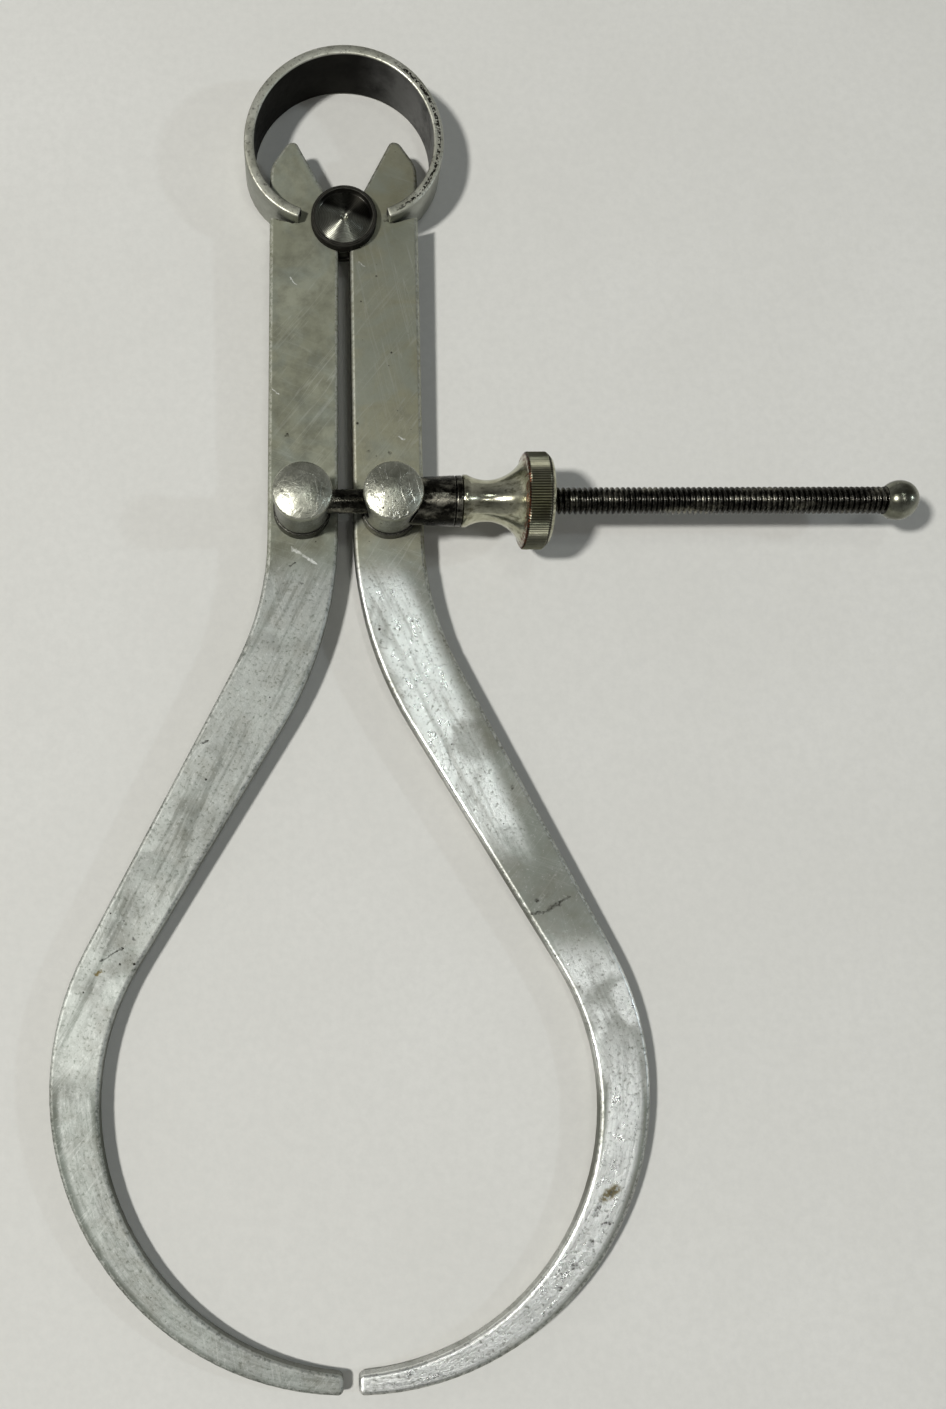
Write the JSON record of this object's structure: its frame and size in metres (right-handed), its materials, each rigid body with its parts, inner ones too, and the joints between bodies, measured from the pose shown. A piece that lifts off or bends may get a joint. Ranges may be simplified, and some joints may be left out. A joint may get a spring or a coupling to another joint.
{
  "type": "outside spring caliper",
  "caption": "Outside caliper with two bowed flat steel legs on a spool fulcrum, a ring-shaped bow spring and a screw with a knurled nut that sets the opening of the tips.",
  "frame": {"origin": "on the fulcrum axis, at the flat back face of the fulcrum stud", "axes": "+Z out of the face with the post heads, +Y towards the bow spring with the tips at -Y, +X along the adjusting screw towards its ball"},
  "size_m": [0.1121, 0.1774, 0.0155],
  "materials": {
    "leg_steel": "satin ground, worn and stained",
    "spring_steel": "ground rim, dull inside",
    "dark_steel": "blackened and turned",
    "post_steel": "satin turned",
    "nickel_plate": "worn nickel plate",
    "bright_steel": "polished"
  },
  "bodies": {
    "left_leg": {"left_leg": "leg_steel", "bow_spring": "spring_steel"},
    "right_leg": {"right_leg": "leg_steel"},
    "fulcrum": {"fulcrum_stud": "dark_steel"},
    "left_post": {"left_post": "post_steel", "left_post_washer": "post_steel", "adjusting_screw": "dark_steel", "stop_ball": "bright_steel"},
    "right_post": {"right_post": "post_steel", "right_post_washer": "post_steel", "thrust_collar": "dark_steel", "thrust_washer": "dark_steel"},
    "nut": {"adjusting_nut": "nickel_plate"}
  },
  "joints": [
    {"name": "leg_open", "type": "hinge", "parent": "left_leg", "child": "right_leg", "pos_m": [0, 0, 0], "axis": [0, 0, 1], "range_deg": [-0.68, 56.5], "deforming": ["bow_spring"]},
    {"name": "fulcrum_turn", "type": "hinge", "parent": "left_leg", "child": "fulcrum", "pos_m": [0, 0, 0], "axis": [0, 0, 1], "range_deg": [-0.5, 28.5]},
    {"name": "left_post_turn", "type": "hinge", "parent": "left_leg", "child": "left_post", "pos_m": [-0.00581, -0.04126, 0], "axis": [0, 0, 1], "range_deg": [-0.5, 28.5]},
    {"name": "right_post_turn", "type": "hinge", "parent": "right_leg", "child": "right_post", "pos_m": [0.00581, -0.04126, 0], "axis": [0, 0, 1], "range_deg": [-28.5, 0.5]},
    {"name": "nut_spin", "type": "hinge", "parent": "right_post", "child": "nut", "pos_m": [0.00581, -0.04126, 0.0073], "axis": [1, 0, 0], "range_deg": [-250, 19400]}
  ],
  "couplings": [
    {"joint": "fulcrum_turn", "follows": "leg_open", "ratio": 0.5},
    {"joint": "left_post_turn", "follows": "leg_open", "ratio": 0.5},
    {"joint": "right_post_turn", "follows": "leg_open", "ratio": -0.5},
    {"joint": "nut_spin", "follows": "leg_open", "ratio": 340.5}
  ]
}
